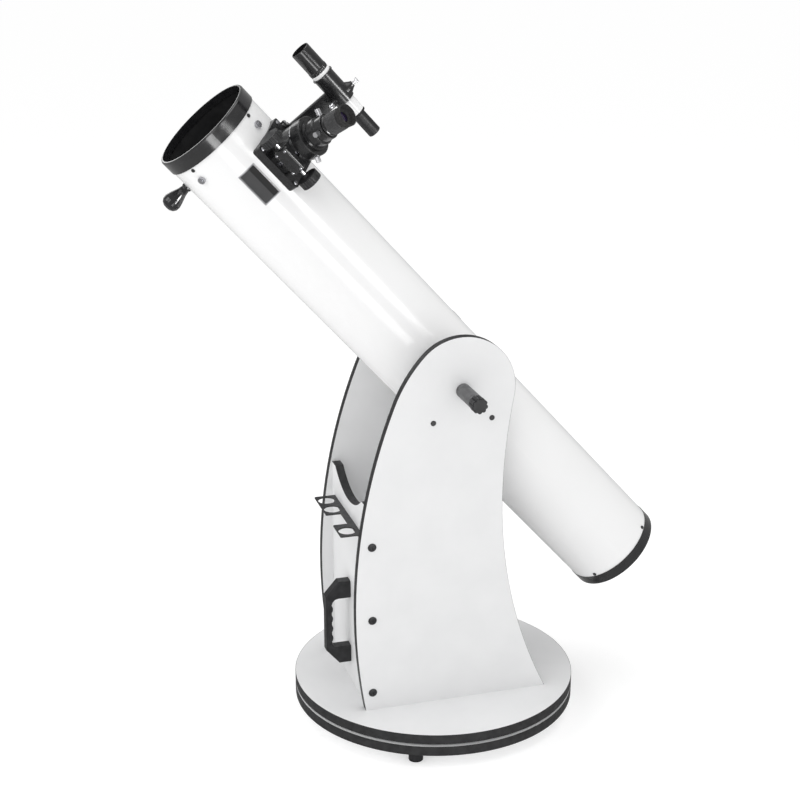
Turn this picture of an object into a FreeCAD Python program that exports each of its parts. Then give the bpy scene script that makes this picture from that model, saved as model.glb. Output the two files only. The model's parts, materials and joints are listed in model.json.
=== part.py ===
"""A 150 mm f/8 Newtonian telescope on a rocker-box (dobsonian) base.

Row frame: +Z up, -Y is the front of the base and the side the tube points to, +X is the right-hand
side panel. The origin is on the floor, on the azimuth axis. All sizes are in millimetres.
"""
import FreeCAD, Part
import math
import os
from FreeCAD import Vector, Rotation, Placement

# ---------------------------------------------------------------- driving dimensions: base
FOOT_HEIGHT = 24.5
FOOT_RADIUS = 13.5
FOOT_CIRCLE = 240.0            # radius of the circle that the feet stand on
FOOT_ANGLE = -25.2             # direction of the first foot, from +X
STUD_DEPTH = 6.0               # how deep the head of its stud is moulded into a foot
BOARD_RADIUS = 269.5
BOARD_THICKNESS = 18.5
BOARD_EDGING = 0.6
AZIMUTH_GAP = 5.2              # between the ground board and the rocker board
PAD_CIRCLE = 205.0
RUNNING_GAP = 0.3              # between faces that slide or turn past each other
FIT_GAP = 0.06                 # radial clearance of a shaft in its bore

PANEL_THICKNESS = 16.0
PANEL_OUTSIDE = 135.3          # distance of a side panel's outer face from the centre plane
PANEL_EDGING = 0.4
PIVOT_Y = 8.5
PIVOT_HEIGHT = 608.5           # altitude axis over the rocker board's top
PANEL_TOP_RADIUS = 98.5
FRONT_BULGE = (-191.6, 195.0)  # foremost point of the front edge: y, height
FRONT_RADIUS = 1089.0
SHOULDER_HEIGHT = 590.0        # where the front arc meets the shoulder arc
REAR_WAIST = (86.8, 392.0)     # narrowest point of the rear edge: y, height
REAR_CORNER = 179.5

FRONT_BOARD_Y = -160.5         # centre plane of the front board
FRONT_BOARD_TOP = 402.0
FRONT_ARC_DEPTH = 33.0
FRONT_ARC_RADIUS = 150.0
PANEL_BOLT_HEIGHTS = (35.5, 182.7, 327.4)
ALTITUDE_PAD_SPREAD = 55.0
ALTITUDE_PAD_DROP = 56.2

HANDLE_HEIGHT = 123.0          # centre of the carry handle over the rocker board
HANDLE_LENGTH = 169.0
HANDLE_DEPTH = 48.0
HANDLE_WIDTH = 24.0
RACK_HEIGHT = 340.0
RACK_DEPTH = 41.0
EYEPIECE_HOLE_RADIUS = 16.2

# ---------------------------------------------------------------- driving dimensions: telescope
ALTITUDE = 47.8                # how far the tube points above the horizon at rest
TUBE_RADIUS = 91.0
TUBE_WALL = 1.2
TUBE_FRONT = 629.0             # from the altitude axis, along the tube
TUBE_REAR = -538.0
RING_RADIUS = 93.0
REAR_RING_RADIUS = 92.0
FRONT_RING = (608.0, 634.0)
MOUTH_RADIUS = 88.6            # bore of the front ring, which hooks over the tube's edge
MOUTH_LIP = 14.0
REAR_RING = (-542.0, -520.6)
HUB_RADIUS = 65.0
STUD_RADIUS = 4.0
GRIP_RADIUS = 13.6
GRIP_LENGTH = 92.0
GRIP_LOBES = 9

MIRROR_RADIUS = 76.5
MIRROR_THICKNESS = 22.0
FOCAL_LENGTH = 1200.0
CELL_BOLT_CIRCLE = 60.0
SPIDER_STATION = 581.0
SPIDER_ANGLE = 45.0
SECONDARY_RADIUS = 18.5

FOCUSER_STATION = 513.0
FOCUSER_ANGLE = 42.5           # from the tube's top towards +X
BASE_LENGTH = 95.0
BASE_SIDES = (-40.0, 47.0)     # the focuser's base, either side of its drawtube
DRAWTUBE_RADIUS = 28.5
PINION_OFFSET = 40.4           # pinion axis from the drawtube's axis
PINION_RADIAL = 122.0          # pinion axis from the tube's axis
GEAR_MODULE = 1.0
PINION_TEETH = 12
KNOB_RADIUS = 19.0
KNOB_INNER = 40.0
KNOB_WIDTH = 14.0
COLLAR = (138.0, 160.0)
EYEPIECE_BARREL_RADIUS = 15.875

FINDER_ANGLE = 14.5
FINDER_RADIAL = 208.0          # finder axis from the tube's axis
FINDER_STALK = 519.0
FINDER_RADIUS = 15.0
SHOE_LENGTH = 48.0
SHOE_WIDTH = 24.0

# ---------------------------------------------------------------- derived places
GROUND_TOP = FOOT_HEIGHT + BOARD_THICKNESS
ROCKER_BOTTOM = GROUND_TOP + AZIMUTH_GAP
ROCKER_TOP = ROCKER_BOTTOM + BOARD_THICKNESS
PIVOT = Vector(0, PIVOT_Y, ROCKER_TOP + PIVOT_HEIGHT)
PANEL_INSIDE = PANEL_OUTSIDE - PANEL_THICKNESS
FRONT_FACE = FRONT_BOARD_Y - PANEL_THICKNESS / 2
REAR_FACE = FRONT_BOARD_Y + PANEL_THICKNESS / 2
BORE_RADIUS = TUBE_RADIUS - TUBE_WALL
THIRDS = (0.0, 120.0, 240.0)

UP = Vector(0, 0, 1)
SIDE = Vector(1, 0, 0)
BACK = Vector(0, 1, 0)

nodes = {}


# ---------------------------------------------------------------- small tools
def keep(name, *solids):
    """Store the solids as one named node."""
    nodes[name] = solids[0] if len(solids) == 1 else Part.makeCompound(list(solids))


def rod(radius, start, end, axis=UP, centre=Vector(0, 0, 0)):
    """A solid cylinder from start to end along an axis through centre."""
    return Part.makeCylinder(radius, end - start, centre + axis * start, axis)


def ring(outer, inner, start, end, axis=UP, centre=Vector(0, 0, 0)):
    return rod(outer, start, end, axis, centre).cut(rod(inner, start - 1, end + 1, axis, centre))


def block(x, y, z):
    """A box between the pairs of limits x, y and z."""
    return Part.makeBox(x[1] - x[0], y[1] - y[0], z[1] - z[0], Vector(x[0], y[0], z[0]))


def revolved(profile, axis=UP):
    """Turn a closed profile of (radius, height) points about the Z axis, then lay Z along axis."""
    wire = Part.makePolygon([Vector(r, 0, h) for r, h in profile + profile[:1]])
    solid = Part.Face(wire).revolve(Vector(0, 0, 0), UP, 360)
    solid.Placement = Placement(Vector(0, 0, 0), Rotation(UP, axis))
    return solid


def polar(radius, angle, height=0.0):
    turn = math.radians(angle)
    return Vector(radius * math.cos(turn), radius * math.sin(turn), height)


def placed(shape, placement):
    moved = shape.copy()
    moved.Placement = placement.multiply(moved.Placement)
    return moved


def fused(first, *others):
    return first.multiFuse(list(others)).removeSplitter()


def without(host, *tools):
    return host.cut(list(tools))


def rounded(shape, radius, chooses):
    """Fillet the edges whose centre and direction satisfy the test chooses(centre, direction)."""
    picked = [edge for edge in shape.Edges
              if len(edge.Vertexes) == 2
              and chooses(edge.CenterOfMass, edge.Vertexes[1].Point - edge.Vertexes[0].Point)]
    return shape.makeFillet(radius, picked)


def knurled(radius, depth, count, start, end):
    """A cylinder along Z with shallow flutes around its rim."""
    flutes = [rod(depth, start - 1, end + 1, UP, polar(radius + depth * 0.35, 360.0 * i / count))
              for i in range(count)]
    return rod(radius, start, end).cut(flutes)


def hexagon(across_flats, start, end):
    corner = across_flats / math.sqrt(3)
    points = [polar(corner, 60.0 * i + 30.0, start) for i in range(7)]
    return Part.Face(Part.makePolygon(points)).extrude(Vector(0, 0, end - start))


def arc_through(first, middle, last):
    return Part.Arc(first, middle, last).toShape()


# Places on the telescope tube. Its own frame has Z along the optical axis towards the mouth, Y at the
# top of the tube and X along the altitude axis; the frame's origin is where the two axes cross.
TUBE_FRAME = Placement(PIVOT, Rotation(SIDE, 90.0 - ALTITUDE))


def station(distance, angle):
    """Frame on the tube: X along the tube to its mouth, Z radially out at angle from the top."""
    turn = math.radians(angle)
    outward = Vector(math.sin(turn), math.cos(turn), 0)
    across = Vector(math.cos(turn), -math.sin(turn), 0)
    return TUBE_FRAME.multiply(Placement(Vector(0, 0, distance), Rotation(UP, across, outward, "ZXY")))


FOCUSER_FRAME = station(FOCUSER_STATION, FOCUSER_ANGLE)
FINDER_FRAME = station(FINDER_STALK, FINDER_ANGLE)


def on_tube(shape):
    return placed(shape, TUBE_FRAME)


# ---------------------------------------------------------------- ground board
def make_ground():
    feet, pads, screws = [], [], []
    for third in THIRDS:
        foot_at = polar(FOOT_CIRCLE, FOOT_ANGLE + third)
        cast_in = FOOT_HEIGHT - STUD_DEPTH
        foot = revolved([(0, 0), (FOOT_RADIUS, 0), (FOOT_RADIUS, FOOT_HEIGHT), (2.3, FOOT_HEIGHT),
                         (2.3, cast_in), (4.65, cast_in), (4.65, cast_in - 3), (0, cast_in - 3)])
        foot.translate(foot_at)
        feet.append(foot)
        screws.append(rod(4.6, cast_in - 3, cast_in, UP, foot_at).fuse(
            rod(2.25, cast_in, GROUND_TOP - 5, UP, foot_at)).removeSplitter())
        pad_at = polar(PAD_CIRCLE, FOOT_ANGLE + third, GROUND_TOP)
        pad_top = AZIMUTH_GAP - RUNNING_GAP
        pad = revolved([(2.2, 0), (20, 0), (20, pad_top - 0.6), (19.4, pad_top), (4.6, pad_top),
                        (4.6, 3.9), (2.2, 1.7)])
        pad.translate(pad_at)
        pads.append(pad)
        screw = revolved([(0, -13), (2, -13), (2, 1.8), (4.3, 3.8), (0, 3.8)])
        screw.translate(pad_at)
        screws.append(screw)
    board = ring(BOARD_RADIUS - BOARD_EDGING, 5.2, FOOT_HEIGHT, GROUND_TOP)
    keep("ground_board", without(board, *screws))
    keep("ground_board_edging",
         ring(BOARD_RADIUS, BOARD_RADIUS - BOARD_EDGING, FOOT_HEIGHT, GROUND_TOP))
    keep("feet", *feet)
    keep("azimuth_pads", *pads)
    keep("base_screws", *screws)

    washer_bottom = ROCKER_TOP + 2.0 + RUNNING_GAP
    shank = rod(5.0, FOOT_HEIGHT, washer_bottom + 15)
    head = hexagon(17, FOOT_HEIGHT - 6.5, FOOT_HEIGHT)
    washer = ring(15, 5.2, washer_bottom, washer_bottom + 2)
    nut = hexagon(17, washer_bottom + 2, washer_bottom + 11).cut(rod(5.0, 0, 200))
    keep("azimuth_bolt", fused(shank, head), washer, nut)


# ---------------------------------------------------------------- rocker box
def panel_outline(inset):
    """Closed outline of a side panel in the YZ plane; its curved edges move in by inset."""
    bottom = ROCKER_TOP
    pivot = Vector(0, PIVOT_Y, bottom + PIVOT_HEIGHT)
    top_radius = PANEL_TOP_RADIUS - inset

    front_radius = FRONT_RADIUS - inset
    front_centre = Vector(0, FRONT_BULGE[0] + FRONT_RADIUS, bottom + FRONT_BULGE[1])
    rise = ROCKER_TOP + SHOULDER_HEIGHT - front_centre.z
    lean = -math.sqrt(FRONT_RADIUS ** 2 - rise ** 2)
    outward = Vector(0, lean, rise) / FRONT_RADIUS
    shoulder_start = front_centre + outward * FRONT_RADIUS
    offset = shoulder_start - pivot
    shoulder_radius = ((PANEL_TOP_RADIUS ** 2 - offset.Length ** 2)
                       / (2 * (PANEL_TOP_RADIUS - offset.dot(outward))))
    shoulder_centre = shoulder_start - outward * shoulder_radius
    shoulder_radius -= inset
    shoulder_start = shoulder_centre + outward * shoulder_radius
    top_start_dir = (pivot - shoulder_centre).normalize()
    top_start = pivot + top_start_dir * top_radius

    waist = Vector(0, REAR_WAIST[0], bottom + REAR_WAIST[1])
    across = waist.y - pivot.y
    height = pivot.z - waist.z
    upper_radius = ((across ** 2 + height ** 2 - PANEL_TOP_RADIUS ** 2)
                    / (2 * (PANEL_TOP_RADIUS - across)))
    upper_centre = waist + Vector(0, upper_radius, 0)
    upper_radius += inset
    top_end_dir = (upper_centre - pivot).normalize()
    top_end = pivot + top_end_dir * top_radius
    lower_flare = REAR_CORNER - waist.y
    lower_radius = (lower_flare ** 2 + REAR_WAIST[1] ** 2) / (2 * lower_flare)
    lower_centre = waist + Vector(0, lower_radius, 0)
    lower_radius += inset
    waist = waist - Vector(0, inset, 0)

    def on_arc(centre, radius, first, last):
        """Arc from first to last about centre, through the point half-way."""
        between = ((first - centre).normalize() + (last - centre).normalize()).normalize()
        return arc_through(first, centre + between * radius, last)

    front_corner = Vector(0, front_centre.y - math.sqrt(front_radius ** 2 - FRONT_BULGE[1] ** 2), bottom)
    rear_corner = Vector(0, lower_centre.y - math.sqrt(lower_radius ** 2 - REAR_WAIST[1] ** 2), bottom)
    crown = arc_through(top_start, pivot + Vector(0, 0, top_radius), top_end)
    return Part.Wire([
        on_arc(front_centre, front_radius, front_corner, shoulder_start),
        on_arc(shoulder_centre, shoulder_radius, shoulder_start, top_start),
        crown,
        on_arc(upper_centre, upper_radius, top_end, waist),
        on_arc(lower_centre, lower_radius, waist, rear_corner),
        Part.makeLine(rear_corner, front_corner),
    ])


def panel_slab(inset, side):
    slab = Part.Face(panel_outline(inset)).extrude(Vector(PANEL_THICKNESS, 0, 0))
    slab.translate(Vector(PANEL_INSIDE if side > 0 else -PANEL_OUTSIDE, 0, 0))
    return slab


def front_slab(drop):
    """The front board with its scooped top, lowered by drop along the whole top edge."""
    top = ROCKER_TOP + FRONT_BOARD_TOP - drop
    board = block((-PANEL_INSIDE, PANEL_INSIDE), (FRONT_FACE, REAR_FACE), (ROCKER_TOP, top))
    centre_height = ROCKER_TOP + FRONT_BOARD_TOP - FRONT_ARC_DEPTH + FRONT_ARC_RADIUS
    scoop = rod(FRONT_ARC_RADIUS + drop, -250, 0, BACK, Vector(0, 0, centre_height))
    board = board.cut(scoop)
    shoulder = top - 1.0
    return rounded(board, 6.0, lambda centre, run: centre.z > shoulder - 0.5 and abs(run.y) > 10
                   and abs(centre.x) < PANEL_INSIDE - 2)


def carry_handle():
    """D-shaped grip standing out from the front board, with finger bumps on its inner side."""
    half = HANDLE_LENGTH / 2
    depth = HANDLE_DEPTH
    outline = [(0, -half), (23, -half), (depth, -half + 29), (depth, half - 29), (23, half), (0, half)]
    window = [(-1, -50), (31, -50), (36.5, -43), (36.5, 38), (34.5, 44), (30, 48.5), (24, 50), (-1, 50)]

    def prism(points):
        wire = Part.makePolygon([Vector(-HANDLE_WIDTH / 2, FRONT_FACE - u, v)
                                 for u, v in points + points[:1]])
        return Part.Face(wire).extrude(Vector(HANDLE_WIDTH, 0, 0))

    handle = prism(outline).cut(prism(window))
    handle = rounded(handle, 3.5, lambda centre, run: centre.y < FRONT_FACE - 2
                     and abs(abs(centre.x) - HANDLE_WIDTH / 2) < 0.1)
    bumps = []
    for i in (-1.5, -0.5, 0.5, 1.5):
        bump = rod(12, -HANDLE_WIDTH / 2 + 2, HANDLE_WIDTH / 2 - 2, SIDE,
                   Vector(0, FRONT_FACE - 46.5, i * 20.0))
        bumps.append(bump.common(prism([(30, -45), (42, -45), (42, 45), (30, 45)])))
    handle = handle.multiFuse(bumps)
    handle.translate(Vector(0, 0, ROCKER_TOP + HANDLE_HEIGHT))
    return handle


def eyepiece_rack():
    """Folded steel strip with three holed tabs."""
    level = ROCKER_TOP + RACK_HEIGHT
    thick = 2.0
    outer = FRONT_FACE - RACK_DEPTH
    shelf = block((-100, 101), (FRONT_FACE - 13, FRONT_FACE), (level - thick, level))
    flange = block((-100, 101), (FRONT_FACE - thick, FRONT_FACE), (level - 15, level))
    pair = block((-100, -7), (outer, FRONT_FACE - 10), (level - thick, level))
    single = block((44, 101), (outer, FRONT_FACE - 10), (level - thick, level))
    rack = fused(shelf, flange, pair, single)
    hole_y = outer + EYEPIECE_HOLE_RADIUS + 2.4
    holes = [rod(EYEPIECE_HOLE_RADIUS, level - 5, level + 5, UP, Vector(x, hole_y, 0))
             for x in (-76.7, -31.5, 76.5)]
    rack = rack.cut(holes)
    return rounded(rack, 3.0, lambda centre, run: centre.y < outer + 1 and abs(run.z) > 1)


def screw_into(point, direction, head_radius, head_height, radius, length):
    """Round-headed screw: its head stands on point, its shank goes along direction."""
    head = revolved([(0, -head_height), (head_radius * 0.75, -head_height),
                     (head_radius, -head_height * 0.35), (head_radius, 0), (radius, 0),
                     (radius, length), (0, length)], direction)
    head.translate(point)
    return head


def make_rocker():
    bolts, screws, pads, holes = [], [], [], []
    for side in (1, -1):
        inward = SIDE * -side
        face = SIDE * (side * PANEL_OUTSIDE)
        for height in PANEL_BOLT_HEIGHTS:
            at = face + Vector(0, FRONT_BOARD_Y, ROCKER_TOP + height)
            bolts.append(screw_into(at, inward, 8.0, 2.0, 3.5, 45.0))
        for spread in (-ALTITUDE_PAD_SPREAD, ALTITUDE_PAD_SPREAD):
            at = face + Vector(0, PIVOT_Y + spread, PIVOT.z - ALTITUDE_PAD_DROP)
            screws.append(screw_into(at, inward, 5.0, 1.6, 2.5, PANEL_THICKNESS + 14))
            pads.append(ring(13.2, 2.5, PANEL_THICKNESS, PANEL_THICKNESS + 19, inward, at))
        for y in (-110.0, 20.0, 140.0):
            at = Vector(side * (PANEL_OUTSIDE - PANEL_THICKNESS / 2), y, ROCKER_BOTTOM + 1.5)
            screws.append(revolved([(0, 0), (4.5, 0), (2.5, 3), (2.5, 55), (0, 55)]))
            screws[-1].translate(at)
        holes.append(rod(6.0, -20, 20, SIDE, Vector(side * (PANEL_OUTSIDE - 8), PIVOT.y, PIVOT.z)))

    for v in (-67.0, 67.0):
        at = Vector(0, REAR_FACE, ROCKER_TOP + HANDLE_HEIGHT + v)
        screws.append(screw_into(at, BACK * -1, 5.0, 2.4, 2.5, 34.0))
    for x in (-85.0, 86.0):
        at = Vector(x, FRONT_FACE - 2, ROCKER_TOP + RACK_HEIGHT - 8.5)
        screws.append(screw_into(at, BACK, 3.6, 2.0, 1.9, 14.0))
    keep("panel_bolts", *bolts)
    keep("rocker_screws", *screws)
    keep("altitude_pads", *pads)

    bush = fused(ring(8.0, 5.0 + FIT_GAP, ROCKER_BOTTOM, ROCKER_TOP),
                 ring(14.0, 5.0 + FIT_GAP, ROCKER_TOP, ROCKER_TOP + 2.0))
    keep("azimuth_bush", bush)
    board = ring(BOARD_RADIUS - BOARD_EDGING, 8.0, ROCKER_BOTTOM, ROCKER_TOP)
    keep("rocker_board", without(board, *screws))
    keep("rocker_board_edging",
         ring(BOARD_RADIUS, BOARD_RADIUS - BOARD_EDGING, ROCKER_BOTTOM, ROCKER_TOP))

    edgings = []
    fasteners = bolts + screws + holes
    for name, side in (("side_panel_right", 1), ("side_panel_left", -1)):
        core = panel_slab(PANEL_EDGING, side)
        edgings.append(panel_slab(0.0, side).cut(core))
        keep(name, without(core, *fasteners))
    board = front_slab(PANEL_EDGING)
    edgings.append(front_slab(0.0).cut(block((-150, 150), (-200, -100),
                                             (ROCKER_TOP - 1, ROCKER_TOP + 320))).cut(board))
    keep("front_board", without(board, *fasteners))
    keep("panel_edgings", *edgings)

    keep("carry_handle", without(carry_handle(), *screws))
    keep("eyepiece_rack", without(eyepiece_rack(), *screws))


# ---------------------------------------------------------------- telescope tube and fittings
def tension_handle(side):
    """Grip with a lobed end, on a threaded stud that goes through the side panel into the hub."""
    start = PANEL_OUTSIDE + RUNNING_GAP
    end = start + GRIP_LENGTH
    grip = revolved([(0, start), (GRIP_RADIUS - 1, start), (GRIP_RADIUS, start + 1),
                     (GRIP_RADIUS, end - 20), (GRIP_RADIUS - 2, end - 18), (GRIP_RADIUS - 2, end),
                     (0, end)])
    lobes = []
    for i in range(GRIP_LOBES):
        lobe = revolved([(0, end - 24), (2.6, end - 24), (4.1, end - 21), (4.1, end - 1.5),
                         (2.9, end), (0, end)])
        lobe.translate(polar(GRIP_RADIUS - 3.1, 360.0 * i / GRIP_LOBES))
        lobes.append(lobe)
    handle = fused(grip, rod(STUD_RADIUS, 95, start + 5), *lobes)
    return Placement(PIVOT, Rotation(UP, SIDE * side)), handle


def altitude_hub(side):
    axis = SIDE * side
    bearing = ring(HUB_RADIUS, STUD_RADIUS + FIT_GAP, 98.5, PANEL_INSIDE - 0.5, axis)
    saddle = ring(52.0, STUD_RADIUS + FIT_GAP, 70.0, 98.5, axis)
    return fused(bearing, saddle).cut(rod(TUBE_RADIUS, -100, 100))


def secondary():
    """Elliptical flat mirror and its holder, in the focuser's frame."""
    facing = Vector(-1, 0, 1).normalize()
    slab_turn = Rotation(UP, facing)

    def slab(start, end):
        plate = block((-60, 60), (-60, 60), (start, end))
        plate.Placement = Placement(Vector(0, 0, 0), slab_turn)
        return plate

    mirror = rod(SECONDARY_RADIUS, -40, 60, SIDE).common(slab(-6.0, 0.0))
    holder = rod(SECONDARY_RADIUS + 0.5, -40, 44, SIDE).common(slab(-90.0, -6.0))
    return mirror, holder


def spider():
    """Four thin vanes and the hub they hold, in the tube's frame."""
    hub = ring(15.0, 3.1, SPIDER_STATION - 14, SPIDER_STATION + 12)
    vanes = []
    for i in range(4):
        vane = block((14, BORE_RADIUS), (-0.5, 0.5), (SPIDER_STATION - 10, SPIDER_STATION + 10))
        vane.rotate(Vector(0, 0, 0), UP, SPIDER_ANGLE + 90.0 * i)
        vanes.append(vane)
    return fused(hub, *vanes).common(rod(BORE_RADIUS, 500, 640))


def mirror_cell_base():
    """Rear end casting: outer ring, inner wall and three arms that carry the collimation bolts."""
    rear, front = REAR_RING
    web = (rear + 10.0, rear + 16.0)
    outer = ring(REAR_RING_RADIUS, TUBE_RADIUS, TUBE_REAR, front)
    outer = outer.fuse(ring(REAR_RING_RADIUS, 85.0, rear, TUBE_REAR))
    wall = ring(BORE_RADIUS - 0.1, 85.0, TUBE_REAR, web[1])
    casting = [wall, ring(30.0, 18.0, *web), ring(86.0, 78.0, *web)]
    for third in THIRDS:
        arm = block((16, 80), (-13, 13), web)
        arm.rotate(Vector(0, 0, 0), UP, third + 90.0)
        casting.append(arm)
        casting.append(rod(13.0, *web, centre=polar(CELL_BOLT_CIRCLE, third + 90.0)))
    return fused(outer, *casting)


def mirror_cell():
    """Floating plate with three clips over the mirror's edge."""
    rear = REAR_RING[0] + 24.0
    front = rear + 6.0
    plate = rod(MIRROR_RADIUS + 4.0, rear, front)
    for third in THIRDS:
        window = rod(20.0, rear - 1, front + 1, UP, polar(45.0, third + 30.0))
        plate = plate.cut(window)
    glass_front = front + 0.5 + MIRROR_THICKNESS
    clips = []
    for third in THIRDS:
        post = block((MIRROR_RADIUS + 0.5, MIRROR_RADIUS + 4.0), (-8, 8), (front - 1, glass_front + 2.5))
        lip = block((MIRROR_RADIUS - 4.0, MIRROR_RADIUS + 4.0), (-8, 8),
                    (glass_front + 0.3, glass_front + 2.5))
        for piece in (post, lip):
            piece.rotate(Vector(0, 0, 0), UP, third + 150.0)
            clips.append(piece)
    return fused(plate, *clips)


def primary_mirror():
    rear = REAR_RING[0] + 30.5
    front = rear + MIRROR_THICKNESS
    glass = rod(MIRROR_RADIUS, rear, front)
    curvature = 2 * FOCAL_LENGTH
    hollow = MIRROR_RADIUS ** 2 / (2 * curvature)
    return glass.cut(Part.makeSphere(curvature, Vector(0, 0, front - hollow + curvature)))


def collimation_knob(third):
    rear = REAR_RING[0]
    knob = knurled(11.0, 1.6, 12, rear, rear + 10.0 - RUNNING_GAP)
    knob = fused(knob, rod(3.0, rear + 2, rear + 29.0))
    knob.translate(polar(CELL_BOLT_CIRCLE, third + 90.0))
    return knob


def make_tube():
    springs, bolt_holes, lock_screws = [], [], []
    rear = REAR_RING[0]
    for i, third in enumerate(THIRDS):
        at = polar(CELL_BOLT_CIRCLE, third + 90.0)
        bolt_holes.append(rod(3.0 + FIT_GAP, rear, rear + 40, UP, at))
        spring = ring(7.5, 5.0, rear + 16.0, rear + 22.3, UP, at)
        springs.append(spring)
        lock_at = polar(CELL_BOLT_CIRCLE - 22.0, third + 90.0)
        lock = fused(rod(4.0, rear + 6.0, rear + 10.0), rod(2.0, rear + 10, rear + 22.0))
        lock.translate(lock_at)
        lock_screws.append(lock)
        knob = collimation_knob(third)
        keep("collimation_knob_%d" % (i + 1), on_tube(knob))
    keep("collimation_springs", *[on_tube(spring) for spring in springs])
    cell = mirror_cell().cut(bolt_holes)
    keep("mirror_cell", on_tube(cell))
    keep("primary_mirror", on_tube(primary_mirror()))

    small = list(lock_screws)
    for i in range(4):
        angle = SPIDER_ANGLE + 90.0 * i
        for height in (FRONT_RING[0] - 5.5, REAR_RING[1] + 5.0):
            outward = polar(1.0, angle)
            small.append(screw_into(outward * (TUBE_RADIUS + 0.1) + UP * height, outward * -1,
                                    3.4, 2.0, 1.6, 4.5))
    small += [placed(screw, TUBE_FRAME.inverse().multiply(FOCUSER_FRAME)) for screw in base_corner_screws()]
    for side in (1, -1):
        for spread in (-32.0, 32.0):
            start = math.sqrt(BORE_RADIUS ** 2 - 5.0 ** 2) - 0.6
            at = Vector(side * start, 0, spread)
            small.append(screw_into(at, SIDE * side, 4.5, 2.5, 2.5, 16.0))
    hub_top = Vector(0, 0, SPIDER_STATION + 12)
    small.append(screw_into(hub_top, UP * -1, 5.0, 4.0, 3.1, 42.0))
    for third in THIRDS:
        small.append(screw_into(hub_top + polar(10.0, third), UP * -1, 3.0, 3.0, 1.5, 24.0))

    nuts = []
    for i in range(4):
        nut = knurled(6.5, 0.8, 16, 0, 4.5)
        nut = fused(nut, rod(3.0, 0, 6.5))
        nut.Placement = Placement(polar(TUBE_RADIUS + 0.1, SPIDER_ANGLE + 90.0 * i, SPIDER_STATION),
                                  Rotation(UP, polar(1.0, SPIDER_ANGLE + 90.0 * i)))
        nuts.append(nut)
    covers = [placed(screw, TUBE_FRAME.inverse().multiply(FOCUSER_FRAME)) for screw in cover_screws()]
    keep("tube_screws", *[on_tube(screw) for screw in small + nuts + covers])

    wall = ring(TUBE_RADIUS, BORE_RADIUS, TUBE_REAR, TUBE_FRONT)
    port = placed(rod(37.0, 60, 110), TUBE_FRAME.inverse().multiply(FOCUSER_FRAME))
    keep("main_tube", on_tube(without(wall, port, *small)))

    mouth = revolved([(TUBE_RADIUS, FRONT_RING[0]), (RING_RADIUS, FRONT_RING[0]),
                      (RING_RADIUS, FRONT_RING[1] - 2.5), (RING_RADIUS - 0.8, FRONT_RING[1] - 0.8),
                      (RING_RADIUS - 2.5, FRONT_RING[1]), (MOUTH_RADIUS, FRONT_RING[1]),
                      (MOUTH_RADIUS, FRONT_RING[1] - MOUTH_LIP),
                      (BORE_RADIUS - FIT_GAP, FRONT_RING[1] - MOUTH_LIP),
                      (BORE_RADIUS - FIT_GAP, TUBE_FRONT), (TUBE_RADIUS, TUBE_FRONT)])
    keep("front_ring", on_tube(mouth))
    casting = mirror_cell_base().cut(bolt_holes + lock_screws)
    keep("mirror_cell_base", on_tube(casting))

    hubs = [altitude_hub(side).cut(small) for side in (1, -1)]
    keep("altitude_hubs", *[on_tube(hub) for hub in hubs])
    for name, side in (("tension_handle_right", 1), ("tension_handle_left", -1)):
        place, handle = tension_handle(side)
        keep(name, placed(handle, place))

    keep("spider_vanes", on_tube(spider().cut(small)))
    mirror, holder = secondary()
    keep("secondary_mirror", placed(mirror, FOCUSER_FRAME))
    neck = rod(7.0, 44, SPIDER_STATION - 14 - FOCUSER_STATION, SIDE)
    holder_small = [placed(screw, FOCUSER_FRAME.inverse().multiply(TUBE_FRAME)) for screw in small]
    keep("secondary_holder", placed(without(fused(holder, neck), *holder_small), FOCUSER_FRAME))

    profile = [(0, 91.2), (9.0, 91.2), (9.0, 93.5), (7.4, 95.5), (9.0, 104.0), (14.0, 118.0),
               (16.2, 126.0), (15.6, 132.5), (12.0, 138.0), (6.5, 141.0), (0, 141.6)]
    guide = revolved(profile)
    keep("guide_knob", placed(guide, station(574.0, 180.0)))


# ---------------------------------------------------------------- focuser
def base_corner_screws():
    return [screw_into(Vector(x, y, 95.0), UP * -1, 4.0, 2.2, 2.0, 22.0)
            for x in (-40, 40) for y in (BASE_SIDES[0] + 6, BASE_SIDES[1] - 6)]


def cover_screws():
    return [screw_into(Vector(x, PINION_OFFSET + 9, z), BACK * -1, 2.6, 1.6, 1.4, 14.0)
            for x in (-20, 20) for z in (112.5, 131.5)]


def gear(teeth, width):
    """Pinion along X: straight-flanked teeth on a round root, with room for backlash."""
    pitch = GEAR_MODULE * teeth / 2
    root = rod(pitch - 1.2 * GEAR_MODULE, -width / 2, width / 2, SIDE)
    shapes = []
    for i in range(teeth):
        flank = [(pitch - 1.4, -1.15), (pitch, -0.68), (pitch + 0.85, -0.3),
                 (pitch + 0.85, 0.3), (pitch, 0.68), (pitch - 1.4, 1.15)]
        wire = Part.makePolygon([Vector(-width / 2, y, r) for r, y in flank + flank[:1]])
        tooth = Part.Face(wire).extrude(Vector(width, 0, 0))
        tooth.rotate(Vector(0, 0, 0), SIDE, 360.0 * i / teeth + 90.0)
        shapes.append(tooth)
    return fused(root, *shapes)


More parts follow.
